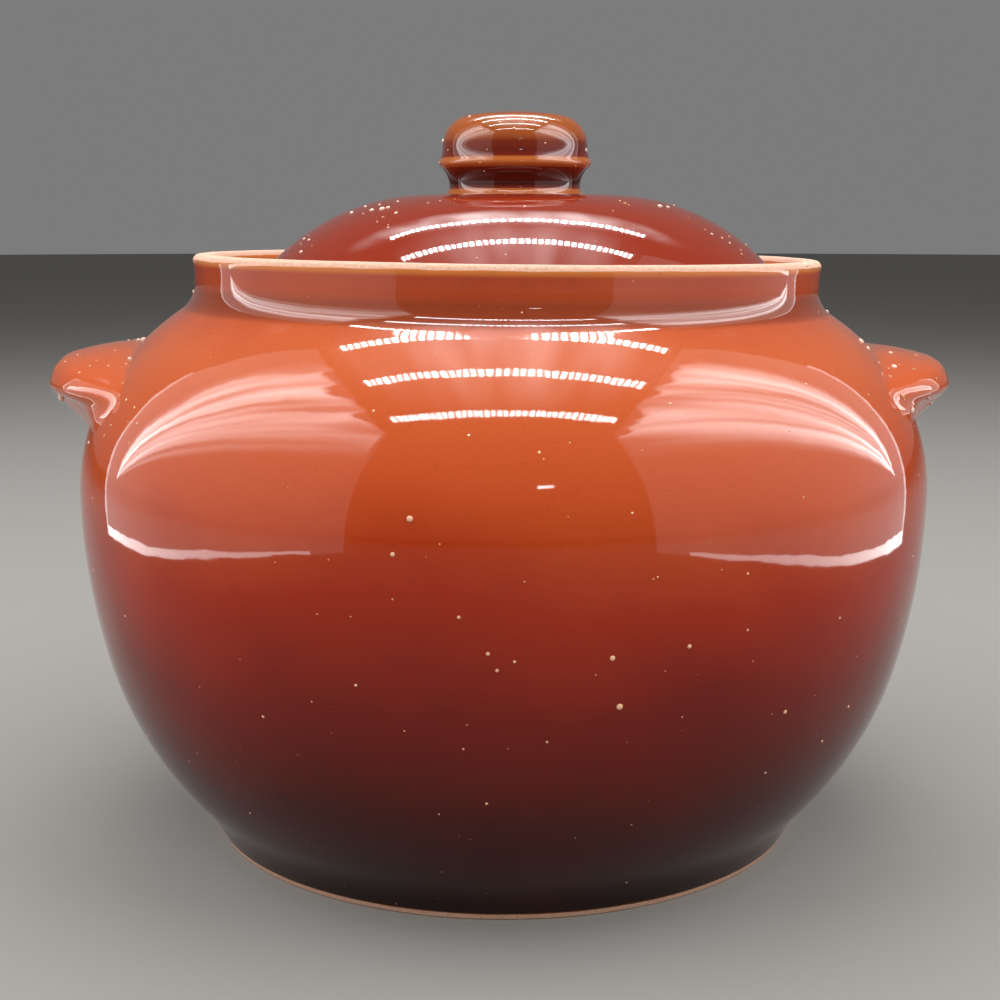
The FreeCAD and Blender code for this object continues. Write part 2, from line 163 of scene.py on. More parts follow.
# Grit that stands out most: place, width, and 1 where it came through the glaze bare.
CRUMBS = {
    "pot_body": [
        (-75.4, -43.8, 100.5, 0.6, 0), (-71.0, -53.9, 97.1, 0.6, 0), (-78.6, -43.7, 95.4, 0.5, 0),
        (-80.3, -42.6, 93.2, 0.5, 0), (-86.4, -31.5, 90.3, 0.7, 1), (-16.3, -91.7, 85.5, 1.2, 0),
        (-19.3, -91.8, 79.3, 0.9, 0), (32.8, -86.9, 61.6, 0.9, 0), (18.9, -90.8, 60.5, 1.1, 0),
        (-2.9, -92.8, 61.9, 0.8, 0), (-1.3, -92.5, 58.8, 0.7, 0), (-7.9, -93.1, 68.5, 0.7, 0),
        (-23.0, -82.4, 102.9, 0.6, 0), (20.4, -88.9, 51.1, 1.3, 0), (52.7, -72.9, 45.1, 0.9, 0),
        (-66.7, -14.3, 120.8, 0.8, 1), (70.4, -11.5, 116.3, 0.9, 1), (76.0, -20.9, 110.5, 1.4, 1),
        (77.4, -21.5, 109.1, 1.0, 1), (-64.6, -3.3, 128.7, 0.8, 1), (61.9, -31.7, 127.1, 0.9, 1),
    ],
    "left_lug": [
        (-97.4, -12.1, 97.5, 1.8, 1), (-82.7, 0.4, 109.4, 1.0, 1), (-80.5, -4.6, 109.9, 1.3, 1),
        (-79.4, -23.2, 107.2, 1.0, 1), (-79.5, -26.2, 106.3, 0.7, 0), (-78.2, -35.4, 103.2, 0.6, 0),
        (-87.7, -24.1, 105.7, 0.6, 0), (-83.5, -25.0, 105.9, 0.7, 0), (-87.0, -21.0, 106.6, 0.5, 0),
        (-84.6, -14.1, 108.1, 0.6, 0), (-95.2, -15.7, 105.9, 0.6, 0), (-93.3, -12.3, 107.1, 0.6, 0),
    ],
    "right_lug": [
        (84.6, -12.9, 107.7, 1.0, 1), (82.7, -24.1, 105.7, 1.4, 1), (86.8, -24.4, 105.3, 0.9, 0),
        (80.4, -30.5, 104.2, 0.8, 0), (93.0, -23.7, 103.7, 0.6, 0), (82.2, -35.9, 101.0, 1.3, 0),
        (85.8, -32.4, 97.1, 1.5, 1), (81.2, -38.6, 96.4, 0.8, 0), (89.9, -26.7, 98.3, 0.8, 0),
        (94.8, -12.9, 95.4, 0.8, 0),
    ],
    "lid_dome": [
        (-42.6, -15.4, 131.9, 0.7, 1), (-32.4, -15.4, 137.4, 0.9, 1), (-29.6, -13.8, 138.7, 0.7, 1),
        (-26.3, -17.7, 139.1, 0.6, 1), (-22.3, -19.9, 139.7, 0.6, 1), (52.5, -10.8, 130.6, 0.8, 0),
        (-29.5, -22.4, 137.4, 0.7, 0), (-27.7, -21.7, 138.2, 1.0, 1), (-25.4, -23.8, 138.4, 1.3, 1),
        (-24.1, -24.2, 138.6, 1.0, 1), (-24.8, -30.0, 136.8, 0.7, 0), (-22.1, -30.0, 137.6, 0.8, 1),
        (-15.6, -28.1, 139.6, 0.7, 0), (-13.1, -28.0, 140.0, 0.6, 0), (-10.1, -27.8, 140.4, 0.5, 0),
        (-25.9, -31.6, 135.8, 0.6, 0), (-23.4, -35.0, 135.2, 0.5, 0), (-41.2, -20.2, 132.0, 0.7, 1),
        (-42.4, -24.5, 129.6, 0.9, 1), (-39.9, -25.8, 130.8, 0.5, 0), (25.1, -26.0, 139.6, 0.8, 0),
        (25.8, -27.1, 139.2, 0.6, 0), (32.9, -19.9, 139.0, 1.1, 1), (34.8, -17.9, 138.9, 0.8, 1),
        (41.9, -25.0, 134.1, 0.6, 0), (43.3, -25.1, 133.3, 0.7, 1), (45.7, -23.5, 132.4, 0.8, 0),
        (47.4, -23.1, 131.4, 0.6, 1), (49.9, -22.1, 129.9, 0.6, 0),
    ],
    "lid_knob": [
        (-7.3, -7.4, 157.9, 0.6, 1), (-13.4, -1.7, 153.3, 0.9, 1), (-12.1, -6.8, 151.1, 0.5, 0),
        (18.0, -4.2, 151.2, 0.9, 1), (-0.8, -14.0, 156.6, 0.6, 0), (2.2, -15.2, 155.3, 0.6, 0),
    ],
}


# ---------------------------------------------------------------- outlines, in mm

def two_arcs(start, end, start_lean, end_lean, side):
    """Knee and radii of two arcs that join two points smoothly, with tangents of one length.

    side is 1 where the curve climbs outwards and -1 where it climbs inwards.
    """
    first, last = radians(start_lean), radians(end_lean)
    run, rise = side * (end[0] - start[0]), end[1] - start[1]
    sines, cosines = sin(first) + sin(last), cos(first) + cos(last)
    bend = 1 - cos(first - last)
    along = run * sines + rise * cosines
    reach = (sqrt(along ** 2 + 2 * bend * (run ** 2 + rise ** 2)) - along) / (2 * bend)
    lean = acos((rise - reach * cosines) / (2 * reach))
    knee = ((start[0] + end[0] + side * reach * (sin(first) - sin(last))) / 2,
            (start[1] + end[1] + reach * (cos(first) - cos(last))) / 2)
    return knee, lean, reach / tan(abs(lean - first) / 2), reach / tan(abs(lean - last) / 2)


def square_arc(run, rise):
    """Radius of an arc that leaves one end square to run and spans run and rise."""
    return (run ** 2 + rise ** 2) / (2 * run)


def walk(corners):
    """Points a STEP apart along an outline of lines and arcs.

    A corner is (across, up), or (across, up, radius, turn) where an arc leads to it, with
    turn 1 for an arc that bends to the left and -1 for one that bends to the right.
    """
    start = np.array(corners[0], float)
    points = [start]
    for corner in corners[1:]:
        end = np.array(corner[:2], float)
        chord = end - start
        length = hypot(*chord)
        if len(corner) == 2:
            way = np.linspace(0, 1, max(round(length / STEP), 1) + 1)[1:, None]
            points.extend(start + chord * way)
        else:
            radius, turn = corner[2:]
            to_left = np.array([-chord[1], chord[0]]) / length
            to_centre = sqrt(max(radius ** 2 - length ** 2 / 4, 0))
            centre = (start + end) / 2 + turn * to_centre * to_left
            sweep = 2 * asin(min(length / (2 * radius), 1)) * turn
            way = np.linspace(0, 1, max(round(abs(sweep) * radius / STEP), 1) + 1)[1:]
            angles = atan2(start[1] - centre[1], start[0] - centre[0]) + sweep * way
            points.extend(centre + radius * np.column_stack([np.cos(angles), np.sin(angles)]))
        start = end
    return np.array(points)


def blurred(values, reach):
    """Values along a walk, averaged over about reach either way."""
    count = int(3 * reach / STEP)
    weights = np.exp(-((np.arange(-count, count + 1) * STEP / reach) ** 2) / 2)
    padded = np.pad(values, count, mode="edge")
    return np.convolve(padded, weights / weights.sum(), "valid")


def softened(points, reach):
    """A walk from axis to axis with its corners rounded, as fire and glaze round them."""
    count = int(4 * reach / STEP)
    mirror = np.array([-1, 1])
    padded = np.vstack([points[count:0:-1] * mirror, points, points[-2:-count - 2:-1] * mirror])
    soft = np.column_stack([blurred(column, reach) for column in padded.T])[count:-count]
    soft[[0, -1], 0] = 0
    return soft


def store(mesh, values):
    """Store named values, one for each point, on a mesh."""
    for name, value in values.items():
        mesh.attributes.new(name, "FLOAT", "POINT").data.foreach_set("value", value)


def section_mesh(name, corners, softness, longest_side, bare=None, inside=None):
    """The half-section as a mesh of points that carry what the glaze does there.

    bare and inside say where clay is bare and where it is inside the pot. A point gets
    thin, from -1 in a hollow, where glaze pools, to 1 on a sharp edge, where it runs thin;
    glaze, the distance in mm from where the glaze ends, negative on bare clay; along, the
    distance in mm from the axis along the section; and inside, 1 inside the pot.
    """
    points = softened(walk(corners), softness)
    heading = np.unwrap(np.arctan2(*np.gradient(points, axis=0).T[::-1]))
    lengths = np.concatenate([[0], np.cumsum(np.hypot(*np.diff(points, axis=0).T))])
    bend = np.gradient(heading, lengths)
    nowhere = np.zeros(len(points), bool)
    is_bare = nowhere if bare is None else bare(*points.T)
    is_inside = nowhere if inside is None else inside(lengths, points[:, 1])
    ends = lengths[np.flatnonzero(np.diff(is_bare.astype(int)))]
    margin = np.abs(lengths[:, None] - ends).min(axis=1, initial=ALL_GLAZED)

    least_bend = 1e-6
    sides = SIDE_TURN / (np.abs(blurred(bend, SIDE_BLUR)) + least_bend)
    sides = np.clip(sides, SHORTEST_SIDE, longest_side * (1 + SLACK_INSIDE * is_inside))
    ticks = np.cumsum(STEP / sides)
    picks = np.searchsorted(ticks, np.linspace(0, ticks[-1], round(ticks[-1])))
    last = len(points) - 1
    picks = np.unique(np.clip(np.concatenate([[0], picks, [last]]), 0, last))
    mesh = bpy.data.meshes.new(name)
    mesh.from_pydata([(across * MM, 0, up * MM) for across, up in points[picks]],
                     [(i, i + 1) for i in range(len(picks) - 1)], [])
    store(mesh, {
        "thin": np.clip(blurred(bend, GLAZE_BLUR) / SHARP_BEND, -1, 1)[picks],
        "glaze": np.where(is_bare, -margin, margin)[picks],
        "along": lengths[picks],
        "inside": is_inside[picks].astype(float),
    })
    return mesh


def foot_flare():
    """Top of the foot's hollow flare, and the radius of its curve."""
    first, last = radians(FOOT_LEAN), radians(WALL_LEAN)
    turn = FLARE_RISE / (sin(last) - sin(first))
    return (FOOT_RADIUS + turn * (cos(first) - cos(last)), FLARE_RISE), turn


def pot_outside():
    """Corners of the outside, from the middle of the underside to the top of the rim."""
    waist_z = RIM_Z - RIM_RISE
    flare, flare_turn = foot_flare()
    belly = (BELLY_RADIUS, BELLY_Z)
    knee, _, low_turn, high_turn = two_arcs(flare, belly, WALL_LEAN, 0, 1)
    shoulder = radians(SHOULDER_LEAN)
    neck = (COLLAR_RADIUS + NECK_TURN * (1 - cos(shoulder)), waist_z - NECK_TURN * sin(shoulder))
    bend, _, belly_turn, shoulder_turn = two_arcs(belly, neck, 0, SHOULDER_LEAN, -1)
    rim = COLLAR_RADIUS + RIM_FLARE
    inside_ring = FOOT_RADIUS - FOOT_RING
    return [
        (0, FOOT_RECESS),
        (inside_ring - FOOT_RECESS, FOOT_RECESS),
        (inside_ring, 0),
        (FOOT_RADIUS, 0),
        (*flare, flare_turn, -1),
        (*knee, low_turn, 1),
        (*belly, high_turn, 1),
        (*bend, belly_turn, 1),
        (*neck, shoulder_turn, 1),
        (COLLAR_RADIUS, waist_z, NECK_TURN, -1),
        (rim, RIM_Z - RIM_ROUND, square_arc(RIM_FLARE, RIM_RISE - RIM_ROUND), -1),
        (rim - RIM_ROUND, RIM_Z, RIM_ROUND, 1),
    ]


def pot_inside():
    """Corners of the inside, from the rim over the ledge down to the middle of the floor."""
    lean = radians(WALL_LEAN)
    floor_z = FOOT_RECESS + FLOOR_CLAY
    flare, _ = foot_flare()
    knee, knee_lean, low_turn, high_turn = two_arcs(flare, (BELLY_RADIUS, BELLY_Z), WALL_LEAN, 0, 1)
    corner = (flare[0] - WALL_CLAY * cos(lean), flare[1] + WALL_CLAY * sin(lean))
    corner_turn = (corner[1] - floor_z) / (1 - sin(lean))
    inner_knee = (knee[0] - WALL_CLAY * cos(knee_lean), knee[1] + WALL_CLAY * sin(knee_lean))
    belly = (BELLY_RADIUS - WALL_CLAY, BELLY_Z)
    collar = COLLAR_RADIUS + RIM_FLARE - RIM_CLAY
    mouth, nose = collar - LEDGE_WIDTH, LEDGE_CLAY / 2
    under = (mouth + nose, LEDGE_Z - LEDGE_CLAY)
    arch, _, wall_turn, arch_turn = two_arcs(belly, under, 0, 90, -1)
    return [
        (collar + RIM_ROUND, RIM_Z),
        (collar, RIM_Z - RIM_ROUND, RIM_ROUND, 1),
        (collar, LEDGE_Z + LEDGE_CORNER),
        (collar - LEDGE_CORNER, LEDGE_Z, LEDGE_CORNER, -1),
        (mouth + nose, LEDGE_Z),
        (mouth, LEDGE_Z - nose, nose, 1),
        (*under, nose, 1),
        (*arch, arch_turn, -1),
        (*belly, wall_turn, -1),
        (*inner_knee, high_turn - WALL_CLAY, -1),
        (*corner, low_turn - WALL_CLAY, -1),
        (corner[0] - corner_turn * cos(lean), floor_z, corner_turn, -1),
        (0, floor_z),
    ]


def pot_bare(across, up):
    """Where the pot's glaze was wiped away: under the foot, round it and along the rim."""
    under_foot = (up < FOOT_RECESS + FOOT_LINE) & (across < FOOT_RADIUS - FOOT_RING / 2)
    return under_foot | (up < FOOT_LINE) | (up > RIM_LINE)


def in_pot(lengths, up):
    """Where the section runs inside the pot below the ledge, with its throwing rings."""
    past_rim = lengths > lengths[np.argmax(up)]
    return past_rim & (up < LEDGE_Z - LEDGE_CLAY / 2)


def lid_bare(across, up):
    """Where the lid's glaze was wiped away: round the seat, which rests on the ledge."""
    return (up < LID_SEAT_LINE) & (across > LID_RADIUS / 2)


def lid_outline():
    """Corners of the dome, from the middle of its ceiling round the seat to its crown."""
    dome_turn = square_arc(CROWN_RISE - LID_EDGE_RISE, LID_RADIUS - LID_CROWN_RADIUS)
    centre_z = CROWN_RISE - dome_turn
    inner_turn = dome_turn - LID_CLAY
    seat = LID_CROWN_RADIUS + sqrt(inner_turn ** 2 - centre_z ** 2)
    return [
        (0, CROWN_RISE - LID_CLAY),
        (LID_CROWN_RADIUS, CROWN_RISE - LID_CLAY),
        (seat, 0, inner_turn, -1),
        (LID_RADIUS - LID_EDGE_ROUND, 0),
        (LID_RADIUS, LID_EDGE_ROUND, LID_EDGE_ROUND, 1),
        (LID_RADIUS, LID_EDGE_RISE),
        (LID_CROWN_RADIUS, CROWN_RISE, dome_turn, 1),
        (0, CROWN_RISE),
    ]


def knob_outline():
    """Corners of the knob, from the middle of its base round neck, lip and head to its top."""
    ratio = (KNOB_HEAD_RADIUS - KNOB_TURN) / (KNOB_CROWN - KNOB_TURN)
    square = sqrt(1 - ratio ** 2)
    lip_top = KNOB_LIP_RISE + KNOB_LIP_EDGE
    neck_turn = square_arc(KNOB_BASE_RADIUS - KNOB_NECK_RADIUS, KNOB_NECK_RISE)
    lip_turn = square_arc(KNOB_RADIUS - KNOB_NECK_RADIUS, KNOB_LIP_RISE - KNOB_NECK_RISE)
    head_turn = square_arc(KNOB_RADIUS - KNOB_HEAD_RADIUS, KNOB_HEAD_RISE - lip_top)
    return [
        (0, 0),
        (KNOB_BASE_RADIUS, 0),
        (KNOB_NECK_RADIUS, KNOB_NECK_RISE, neck_turn, -1),
        (KNOB_RADIUS, KNOB_LIP_RISE, lip_turn, -1),
        (KNOB_RADIUS, lip_top),
        (KNOB_HEAD_RADIUS, KNOB_HEAD_RISE, head_turn, -1),
        (KNOB_HEAD_RADIUS, KNOB_RISE - KNOB_CROWN + (KNOB_CROWN - KNOB_TURN) * square),
        (KNOB_CROWN * ratio, KNOB_RISE - KNOB_CROWN * (1 - square), KNOB_TURN, 1),
        (0, KNOB_RISE, KNOB_CROWN, 1),
    ]


# ---------------------------------------------------------------- nodes

UNEVENNESS = ("Swell", "Swell Size", "Ripple", "Ripple Size", "Seed")


def linear(shade):
    """Linear colour, with nothing see-through, for an sRGB hex value such as "9C3A1C"."""
    parts = [int(shade[place:place + 2], 16) / 255 for place in (0, 2, 4)]
    return (*(part / 12.92 if part <= 0.04045 else ((part + 0.055) / 1.055) ** 2.4 for part in parts), 1)


def join(tree, node, joined):
    """Say what a node's sockets hold or join.

    A socket is named or numbered. It takes a plain value, a socket, a node, whose first
    live output is meant, or a list of these.
    """
    for key, value in joined.items():
        socket = node.inputs[key] if isinstance(key, int) else next(
            place for place in node.inputs if place.name == key and place.enabled)
        for item in value if isinstance(value, list) else [value]:
            if isinstance(item, bpy.types.Node):
                item = next(output for output in item.outputs if output.enabled)
            if isinstance(item, bpy.types.NodeSocket):
                tree.links.new(item, socket)
            else:
                socket.default_value = item


def add(tree, kind, joined=None, stops=None, **settings):
    """Add a node with its settings, its colour stops and what its sockets hold or join."""
    node = tree.nodes.new(kind)
    for name, value in settings.items():
        setattr(node, name, value)
    for place, (position, shade) in enumerate(stops or []):
        elements = node.color_ramp.elements
        element = elements[place] if place < 2 else elements.new(position)
        element.position, element.color = position, linear(shade)
    join(tree, node, joined or {})
    return node


def new_tree(name, inputs):
    """A Geometry Nodes tree with named inputs, and the sockets that they come in by.

    An input is given as its default number, or as the name of its kind of socket.
    """
    tree = bpy.data.node_groups.new(name, "GeometryNodeTree")
    for title, value in inputs.items():
        kind = value if isinstance(value, str) else type(value).__name__.title()
        socket = tree.interface.new_socket(title, in_out="INPUT", socket_type=f"NodeSocket{kind}")
        if not isinstance(value, str):
            socket.default_value = value
    tree.interface.new_socket("Piece", in_out="OUTPUT", socket_type="NodeSocketGeometry")
    return tree, tree.nodes.new("NodeGroupInput").outputs


def leaning_clay_tree():
    """Shifts and tips the clay above a height, as a collar leans when a pot is lifted off."""
    tree, given = new_tree("Leaning clay", {
        "Clay": "Geometry", "Lean From": 0.0, "Lean To": 1.0, "Lean Shift": 0.0, "Lean Tip": 0.0})
    place = add(tree, "ShaderNodeSeparateXYZ", {0: add(tree, "GeometryNodeInputPosition")})
    share = add(tree, "ShaderNodeMapRange", {
        "Value": place.outputs["Z"], "From Min": given["Lean From"], "From Max": given["Lean To"],
    }, interpolation_type="SMOOTHSTEP")
    aside, slope = (add(tree, "ShaderNodeMath", {0: given[most], 1: share}, operation="MULTIPLY")
                    for most in ("Lean Shift", "Lean Tip"))
    lift = add(tree, "ShaderNodeMath", {0: slope, 1: place.outputs["X"]}, operation="MULTIPLY")
    moved = add(tree, "GeometryNodeSetPosition", {
        "Geometry": given["Clay"], "Offset": add(tree, "ShaderNodeCombineXYZ", {"X": aside, "Z": lift})})
    add(tree, "NodeGroupOutput", {"Piece": moved})
    return tree


def uneven_clay_tree():
    """Moves a surface along its normal by two sizes of soft noise, as no wall is quite true."""
    tree, given = new_tree("Uneven clay", {
        "Clay": "Geometry", "Swell": 0.0, "Swell Size": 1.0, "Ripple": 0.0, "Ripple Size": 1.0,
        "More": 0.0, "Seed": 0.0})
    height = given["More"]
    for depth in ("Swell", "Ripple"):
        noise = add(tree, "ShaderNodeTexNoise", {
            "Vector": add(tree, "GeometryNodeInputPosition"), "W": given["Seed"], "Detail": 1.0,
            "Scale": add(tree, "ShaderNodeMath", {0: 1.0, 1: given[f"{depth} Size"]}, operation="DIVIDE"),
        }, noise_dimensions="4D")
        either_way = add(tree, "ShaderNodeMapRange", {"Value": noise, "To Min": -1.0}, clamp=False)
        height = add(tree, "ShaderNodeMath", {
            0: either_way, 1: given[depth], 2: height}, operation="MULTIPLY_ADD")
    along_normal = add(tree, "ShaderNodeVectorMath", {
        0: add(tree, "GeometryNodeInputNormal"), "Scale": height}, operation="SCALE")
    moved = add(tree, "GeometryNodeSetPosition", {"Geometry": given["Clay"], "Offset": along_normal})
    add(tree, "NodeGroupOutput", {"Piece": moved})
    return tree


def finish_clay(tree, clay, material):
    """Smooth the clay, make it one mesh with its material and let the tree hand it out."""
    clay = add(tree, "GeometryNodeSetShadeSmooth", {"Geometry": clay, "Shade Smooth": True})
    clay = add(tree, "GeometryNodeSetMaterial", {
        "Geometry": add(tree, "GeometryNodeRealizeInstances", {"Geometry": clay}),
        "Material": material})
    add(tree, "NodeGroupOutput", {"Piece": clay})


def swept_section(tree, given):
    """A half-section swept round the axis with its values, and closed at seam and poles.

    The points of the section are the rows of a sheet, and the turns are its columns.
    """
    rows = add(tree, "GeometryNodeAttributeDomainSize", {"Geometry": given["Section"]}, component="MESH")
    columns = add(tree, "ShaderNodeMath", {0: given["Turns"], 1: 1.0}, operation="ADD")
    clay = add(tree, "GeometryNodeMeshGrid", {
        "Vertices X": rows.outputs["Point Count"], "Vertices Y": columns})
    middle_of_index = add(tree, "ShaderNodeMath", {
        0: add(tree, "GeometryNodeInputIndex"), 1: 0.5}, operation="ADD")
    row, column = (
        add(tree, "ShaderNodeMath", {
            0: add(tree, "ShaderNodeMath", {0: middle_of_index, 1: columns}, operation=part),
        }, operation="FLOOR") for part in ("DIVIDE", "MODULO"))
    turn = add(tree, "ShaderNodeMath", {0: column, 1: given["Turns"]}, operation="DIVIDE")
    angle = add(tree, "ShaderNodeMath", {0: turn, 1: 2 * pi}, operation="MULTIPLY")
    on_section = add(tree, "ShaderNodeSeparateXYZ", {0: add(tree, "GeometryNodeSampleIndex", {
        "Geometry": given["Section"], "Value": add(tree, "GeometryNodeInputPosition"), "Index": row,
    }, data_type="FLOAT_VECTOR", domain="POINT")})
    across, up = on_section.outputs["X"], on_section.outputs["Z"]
    place = {
        axis: add(tree, "ShaderNodeMath", {
            0: across, 1: add(tree, "ShaderNodeMath", {0: angle}, operation=wave),
        }, operation="MULTIPLY") for axis, wave in (("X", "COSINE"), ("Y", "SINE"))}
    clay = add(tree, "GeometryNodeSetPosition", {
        "Geometry": clay, "Position": add(tree, "ShaderNodeCombineXYZ", {**place, "Z": up})})

    carried = {"turn": turn}
    for name in ("thin", "glaze", "along", "inside"):
        carried[name] = add(tree, "GeometryNodeSampleIndex", {
            "Geometry": given["Section"], "Index": row,
            "Value": add(tree, "GeometryNodeInputNamedAttribute", {"Name": name}, data_type="FLOAT"),
        }, data_type="FLOAT", domain="POINT")
    # The height that picks a piece's colour from a ramp with painted shade low down and painted light
    # higher up.
    tone = add(tree, "ShaderNodeMath", {0: up, 1: 1 / MM, 2: given["Tone Rise"]}, operation="MULTIPLY_ADD")
    carried["height"] = add(tree, "ShaderNodeMath", {
        0: carried["inside"], 1: INSIDE_TONE_RISE, 2: tone}, operation="MULTIPLY_ADD")
    clay = add(tree, "GeometryNodeFlipFaces", {"Mesh": clay})
    for name, value in carried.items():
        clay = add(tree, "GeometryNodeStoreNamedAttribute", {
            "Geometry": clay, "Name": name, "Value": value}, data_type="FLOAT", domain="POINT")
    return add(tree, "GeometryNodeMergeByDistance", {"Geometry": clay, "Distance": SEAM_GAP * MM})


def wheel_tree(leaning, uneven):
    """Turns a half-section into a whole piece, as clay turns on the wheel.

    It lets the edge of the glaze wander, gives the glaze its thickness, presses the
    throwing rings into the inside, rubs the foot flat and lets the wall lean.
    """
    tree, given = new_tree("Turned on the wheel", {
        "Section": "Geometry", "Turns": 360, "Centre": 0.0, "Foot": 0.0, "Tone Rise": 0.0,
        "Glaze Coat": 0.15 * MM, "Edge Wander": 0.4, "Wander Size": 9 * MM,
        "Ring Depth": 0.0, "Ring Pitch": 6.0,
        "Swell": 0.12 * MM, "Swell Size": 45 * MM, "Ripple": 0.05 * MM, "Ripple Size": 11 * MM,
        "Lean From": 0.0, "Lean To": 1.0, "Lean Shift": 0.0, "Lean Tip": 0.0,
        "Seed": 0.0, "Material": "Material"})
    clay = swept_section(tree, given)
    glaze, along, turn, inside = (
        add(tree, "GeometryNodeInputNamedAttribute", {"Name": name}, data_type="FLOAT")
        for name in ("glaze", "along", "turn", "inside"))
    wander = add(tree, "ShaderNodeTexNoise", {
        "Vector": add(tree, "GeometryNodeInputPosition"), "W": given["Seed"], "Detail": 3.0,
        "Scale": add(tree, "ShaderNodeMath", {0: 1.0, 1: given["Wander Size"]}, operation="DIVIDE"),
    }, noise_dimensions="4D")
    both_ways = add(tree, "ShaderNodeMapRange", {"Value": wander, "To Min": -1.0}, clamp=False)
    wandering = add(tree, "ShaderNodeMath", {
        0: both_ways, 1: given["Edge Wander"], 2: glaze}, operation="MULTIPLY_ADD")
    clay = add(tree, "GeometryNodeStoreNamedAttribute", {
        "Geometry": clay, "Name": "glaze", "Value": wandering}, data_type="FLOAT", domain="POINT")

    coated = add(tree, "ShaderNodeMapRange", {
        "Value": glaze, "From Min": -0.25, "From Max": 0.35, "To Max": given["Glaze Coat"],
    }, interpolation_type="SMOOTHSTEP")
    winding = add(tree, "ShaderNodeMath", {
        0: add(tree, "ShaderNodeMath", {0: along, 1: given["Ring Pitch"]}, operation="DIVIDE"),
        1: turn}, operation="ADD")
    wave = add(tree, "ShaderNodeMath", {
        0: add(tree, "ShaderNodeMath", {0: winding, 1: 2 * pi}, operation="MULTIPLY")}, operation="SINE")
    inner_wave = add(tree, "ShaderNodeMath", {0: wave, 1: inside}, operation="MULTIPLY")
    raised = add(tree, "ShaderNodeMath", {
        0: inner_wave, 1: given["Ring Depth"], 2: coated}, operation="MULTIPLY_ADD")
    clay = add(tree, "GeometryNodeGroup", {
        "Clay": clay, "More": raised, **{name: given[name] for name in UNEVENNESS}}, node_tree=uneven)
    place = add(tree, "ShaderNodeSeparateXYZ", {0: add(tree, "GeometryNodeInputPosition")})
    rubbed_flat = add(tree, "ShaderNodeMath", {0: place.outputs["Z"], 1: 0.0}, operation="MAXIMUM")
    clay = add(tree, "GeometryNodeSetPosition", {
        "Geometry": clay, "Position": add(tree, "ShaderNodeCombineXYZ", {
            "X": place.outputs["X"], "Y": place.outputs["Y"], "Z": rubbed_flat})})
    clay = add(tree, "GeometryNodeGroup", {
        "Clay": clay, **{name: given[name] for name in COLLAR_LEAN}}, node_tree=leaning)
    clay = add(tree, "GeometryNodeSetPosition", {
        "Geometry": clay,
        "Offset": add(tree, "ShaderNodeCombineXYZ", {"X": given["Centre"], "Z": given["Foot"]})})
    finish_clay(tree, clay, given["Material"])
    return tree


def pressed_tree(leaning, uneven):
    """Makes a lug's surface uneven, as fingers leave it, and leans it with the wall."""
    tree, given = new_tree("Pressed by hand", {
        "Lug": "Geometry", "Swell": 0.25 * MM, "Swell Size": 11 * MM,
        "Ripple": 0.05 * MM, "Ripple Size": 3.5 * MM, **COLLAR_LEAN,
        "Seed": 0.0, "Material": "Material"})
    clay = add(tree, "GeometryNodeGroup", {
        "Clay": given["Lug"], **{name: given[name] for name in UNEVENNESS}}, node_tree=uneven)
    clay = add(tree, "GeometryNodeGroup", {
        "Clay": clay, **{name: given[name] for name in COLLAR_LEAN}}, node_tree=leaning)
    finish_clay(tree, clay, given["Material"])
    return tree


def chosen_crumbs(tree, given, clay):
    """The chosen crumbs as points on the clay, each with its size and the way it faces."""
    surface_normal = add(tree, "GeometryNodeSampleNearestSurface", {
        "Mesh": clay, "Value": add(tree, "GeometryNodeInputNormal"),
        "Sample Position": add(tree, "GeometryNodeInputPosition")}, data_type="FLOAT_VECTOR")
    on_surface = add(tree, "GeometryNodeProximity", {"Geometry": clay}, target_element="FACES")
    upright = add(tree, "FunctionNodeAlignRotationToVector", {"Vector": surface_normal}, axis="Z")
    chosen = add(tree, "GeometryNodeStoreNamedAttribute", {
        "Geometry": given["Chosen"], "Name": "facing", "Value": upright},
        data_type="QUATERNION", domain="POINT")
    chosen = add(tree, "GeometryNodeSetPosition", {
        "Geometry": chosen, "Position": on_surface.outputs["Position"]})
    return add(tree, "GeometryNodeMeshToPoints", {"Mesh": chosen})


def scattered_crumbs(tree, given, clay):
    """A seeded scatter of points, mostly small ones, on the well glazed outside."""
    glazed, hidden = (add(tree, "GeometryNodeInputNamedAttribute", {"Name": name}, data_type="FLOAT")
                      for name in ("glaze", "inside"))
    well_glazed = add(tree, "ShaderNodeMath", {0: glazed, 1: 2.0}, operation="GREATER_THAN")
    outside = add(tree, "ShaderNodeMath", {0: hidden, 1: 0.5}, operation="LESS_THAN")
    spread = add(tree, "GeometryNodeDistributePointsOnFaces", {
        "Mesh": clay, "Density": given["Crumbs to a Square Metre"], "Seed": given["Seed"],
        "Selection": add(tree, "ShaderNodeMath", {0: well_glazed, 1: outside}, operation="MULTIPLY")})
    mostly_small = add(tree, "ShaderNodeMath", {
        0: add(tree, "FunctionNodeRandomValue", {"Seed": given["Seed"]}, data_type="FLOAT"),
        1: 3.0}, operation="POWER")
    size = add(tree, "ShaderNodeMapRange", {
        "Value": mostly_small, "To Min": given["Smallest"], "To Max": given["Largest"]})
    scattered = add(tree, "GeometryNodeStoreNamedAttribute", {
        "Geometry": spread.outputs["Points"], "Name": "size", "Value": size},
        data_type="FLOAT", domain="POINT")
    return add(tree, "GeometryNodeStoreNamedAttribute", {
        "Geometry": scattered, "Name": "facing", "Value": spread.outputs["Rotation"]},
        data_type="QUATERNION", domain="POINT")


